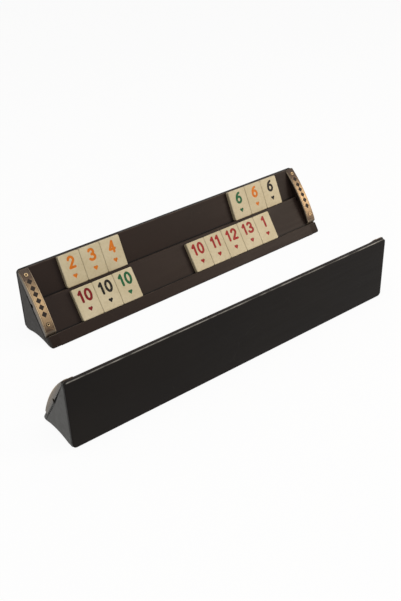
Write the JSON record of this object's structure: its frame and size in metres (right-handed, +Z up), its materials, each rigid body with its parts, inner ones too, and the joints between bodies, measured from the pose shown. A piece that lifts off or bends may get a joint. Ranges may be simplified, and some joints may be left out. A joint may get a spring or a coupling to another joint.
{
  "type": "pair of two-tier tile racks",
  "caption": "Pair of long two-tier racks for number tiles with bronze-covered end cheeks; one holds rows of cream tiles, the other stands back to front.",
  "frame": {"origin": "on the table, at the middle of the box round the two racks", "axes": "+X along the racks, to the right as a player sees the first rack; +Y from its lip to its back; +Z up"},
  "size_m": [0.4454, 0.2048, 0.0718],
  "materials": {
    "espresso_plastic": "fine satin dark brown moulded plastic",
    "black_plastic": "satin near-black moulded board",
    "grey_plastic": "satin charcoal moulded plastic",
    "bronze_cover": "bronze-coloured satin lacquer",
    "brass_strip": "brushed brass, darker towards both ends",
    "eyelet_brass": "bright rolled brass",
    "cream_tile": "smooth cream moulded tile with an engraved, painted number"
  },
  "bodies": {
    "rack_1": {"rack_1_shell": "espresso_plastic", "rack_1_back_panel": "black_plastic", "rack_1_end_cap_left": "grey_plastic", "rack_1_end_cap_right": "grey_plastic", "rack_1_cheek_cover_left": "bronze_cover", "rack_1_cheek_cover_right": "bronze_cover", "rack_1_name_strip_left": "brass_strip", "rack_1_name_strip_right": "brass_strip", "rack_1_eyelets_left": "eyelet_brass", "rack_1_eyelets_right": "eyelet_brass"},
    "rack_2": {"rack_2_shell": "espresso_plastic", "rack_2_back_panel": "black_plastic", "rack_2_end_cap_left": "grey_plastic", "rack_2_end_cap_right": "grey_plastic", "rack_2_cheek_cover_left": "bronze_cover", "rack_2_cheek_cover_right": "bronze_cover", "rack_2_name_strip_left": "brass_strip", "rack_2_name_strip_right": "brass_strip", "rack_2_eyelets_left": "eyelet_brass", "rack_2_eyelets_right": "eyelet_brass"},
    "tile_orange_2": {"tile_orange_2": "cream_tile"},
    "tile_orange_3": {"tile_orange_3": "cream_tile"},
    "tile_orange_4": {"tile_orange_4": "cream_tile"},
    "tile_maroon_10": {"tile_maroon_10": "cream_tile"},
    "tile_black_10": {"tile_black_10": "cream_tile"},
    "tile_green_10": {"tile_green_10": "cream_tile"},
    "tile_red_10": {"tile_red_10": "cream_tile"},
    "tile_red_11": {"tile_red_11": "cream_tile"},
    "tile_red_12": {"tile_red_12": "cream_tile"},
    "tile_red_13": {"tile_red_13": "cream_tile"},
    "tile_red_1": {"tile_red_1": "cream_tile"},
    "tile_green_6": {"tile_green_6": "cream_tile"},
    "tile_orange_6": {"tile_orange_6": "cream_tile"},
    "tile_black_6": {"tile_black_6": "cream_tile"}
  },
  "joints": [
    {"name": "rack_2_lift", "type": "slide", "parent": "rack_1", "child": "rack_2", "axis": [0, 0, 1], "range_m": [0, 0.12]},
    {"name": "tile_orange_2_lift", "type": "slide", "parent": "rack_1", "child": "tile_orange_2", "axis": [0, -0.8192, 0.5736], "range_m": [0, 0.04]},
    {"name": "tile_orange_3_lift", "type": "slide", "parent": "rack_1", "child": "tile_orange_3", "axis": [0, -0.8192, 0.5736], "range_m": [0, 0.04]},
    {"name": "tile_orange_4_lift", "type": "slide", "parent": "rack_1", "child": "tile_orange_4", "axis": [0, -0.8192, 0.5736], "range_m": [0, 0.04]},
    {"name": "tile_maroon_10_lift", "type": "slide", "parent": "rack_1", "child": "tile_maroon_10", "axis": [0, -0.8192, 0.5736], "range_m": [0, 0.04]},
    {"name": "tile_black_10_lift", "type": "slide", "parent": "rack_1", "child": "tile_black_10", "axis": [0, -0.8192, 0.5736], "range_m": [0, 0.04]},
    {"name": "tile_green_10_lift", "type": "slide", "parent": "rack_1", "child": "tile_green_10", "axis": [0, -0.8192, 0.5736], "range_m": [0, 0.04]},
    {"name": "tile_red_10_lift", "type": "slide", "parent": "rack_1", "child": "tile_red_10", "axis": [0, -0.8192, 0.5736], "range_m": [0, 0.04]},
    {"name": "tile_red_11_lift", "type": "slide", "parent": "rack_1", "child": "tile_red_11", "axis": [0, -0.8192, 0.5736], "range_m": [0, 0.04]},
    {"name": "tile_red_12_lift", "type": "slide", "parent": "rack_1", "child": "tile_red_12", "axis": [0, -0.8192, 0.5736], "range_m": [0, 0.04]},
    {"name": "tile_red_13_lift", "type": "slide", "parent": "rack_1", "child": "tile_red_13", "axis": [0, -0.8192, 0.5736], "range_m": [0, 0.04]},
    {"name": "tile_red_1_lift", "type": "slide", "parent": "rack_1", "child": "tile_red_1", "axis": [0, -0.8192, 0.5736], "range_m": [0, 0.04]},
    {"name": "tile_green_6_lift", "type": "slide", "parent": "rack_1", "child": "tile_green_6", "axis": [0, -0.8192, 0.5736], "range_m": [0, 0.04]},
    {"name": "tile_orange_6_lift", "type": "slide", "parent": "rack_1", "child": "tile_orange_6", "axis": [0, -0.8192, 0.5736], "range_m": [0, 0.04]},
    {"name": "tile_black_6_lift", "type": "slide", "parent": "rack_1", "child": "tile_black_6", "axis": [0, -0.8192, 0.5736], "range_m": [0, 0.04]}
  ]
}
